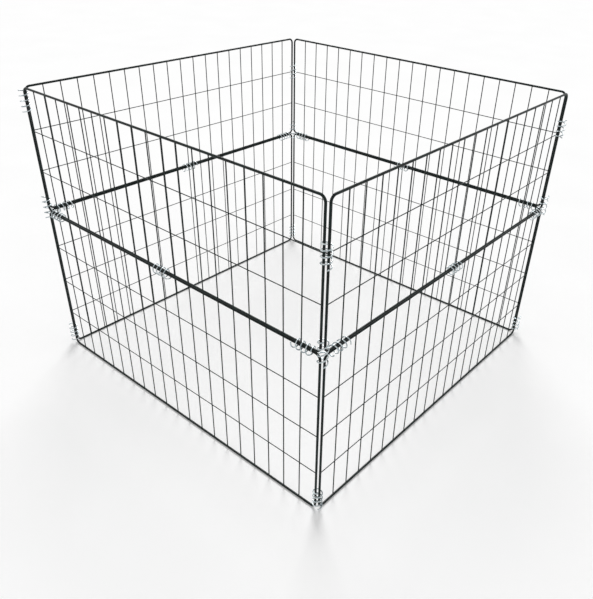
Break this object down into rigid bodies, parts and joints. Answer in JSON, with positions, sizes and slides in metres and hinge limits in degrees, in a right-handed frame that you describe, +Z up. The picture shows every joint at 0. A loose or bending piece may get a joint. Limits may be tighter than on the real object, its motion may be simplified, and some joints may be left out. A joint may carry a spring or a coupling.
{
  "type": "wire leaf composter bin",
  "caption": "Square open wire mesh bin for leaves, of welded panels in two tiers, hinged at the corners by coil clips so that it racks and folds.",
  "frame": {"origin": "middle of the bin, on the ground that its bottom rails rest on", "axes": "+Z up; the front wall is at -Y and the right wall at +X; the picture looks at the front left corner"},
  "size_m": [0.922, 0.922, 0.7003],
  "materials": {
    "coated_rod": "satin dark green-black coating",
    "coated_wire": "satin dark green-black coating",
    "zinc_coil": "bright zinc plate"
  },
  "bodies": {
    "front_wall": {"front_lower_frame": "coated_rod", "front_lower_uprights": "coated_wire", "front_lower_cross_wires": "coated_wire", "front_upper_frame": "coated_rod", "front_upper_uprights": "coated_wire", "front_upper_cross_wires": "coated_wire", "front_rail_left_coil": "zinc_coil", "front_rail_middle_coil": "zinc_coil", "front_rail_right_coil": "zinc_coil", "front_left_upper_coil": "zinc_coil", "front_left_middle_coil": "zinc_coil", "front_left_bottom_coil": "zinc_coil", "front_right_upper_coil": "zinc_coil", "front_right_middle_coil": "zinc_coil", "front_right_bottom_coil": "zinc_coil"},
    "right_wall": {"right_lower_frame": "coated_rod", "right_lower_uprights": "coated_wire", "right_lower_cross_wires": "coated_wire", "right_upper_frame": "coated_rod", "right_upper_uprights": "coated_wire", "right_upper_cross_wires": "coated_wire", "right_rail_left_coil": "zinc_coil", "right_rail_middle_coil": "zinc_coil", "right_rail_right_coil": "zinc_coil"},
    "back_wall": {"back_lower_frame": "coated_rod", "back_lower_uprights": "coated_wire", "back_lower_cross_wires": "coated_wire", "back_upper_frame": "coated_rod", "back_upper_uprights": "coated_wire", "back_upper_cross_wires": "coated_wire", "back_rail_left_coil": "zinc_coil", "back_rail_middle_coil": "zinc_coil", "back_rail_right_coil": "zinc_coil", "back_left_upper_coil": "zinc_coil", "back_left_middle_coil": "zinc_coil", "back_left_bottom_coil": "zinc_coil", "back_right_upper_coil": "zinc_coil", "back_right_middle_coil": "zinc_coil", "back_right_bottom_coil": "zinc_coil"},
    "left_wall": {"left_lower_frame": "coated_rod", "left_lower_uprights": "coated_wire", "left_lower_cross_wires": "coated_wire", "left_upper_frame": "coated_rod", "left_upper_uprights": "coated_wire", "left_upper_cross_wires": "coated_wire", "left_rail_left_coil": "zinc_coil", "left_rail_middle_coil": "zinc_coil", "left_rail_right_coil": "zinc_coil"}
  },
  "joints": [
    {"name": "front_right_hinge", "type": "hinge", "parent": "front_wall", "child": "right_wall", "pos_m": [0.45, -0.45, 0.35], "axis": [0, 0, 1], "range_deg": [-30, 30]},
    {"name": "front_left_hinge", "type": "hinge", "parent": "front_wall", "child": "left_wall", "pos_m": [-0.45, -0.45, 0.35], "axis": [0, 0, 1], "range_deg": [-30, 30]},
    {"name": "back_right_hinge", "type": "hinge", "parent": "right_wall", "child": "back_wall", "pos_m": [0.45, 0.45, 0.35], "axis": [0, 0, 1], "range_deg": [-30, 30]}
  ],
  "couplings": [
    {"joint": "front_left_hinge", "follows": "front_right_hinge", "ratio": 1},
    {"joint": "back_right_hinge", "follows": "front_right_hinge", "ratio": -1}
  ]
}
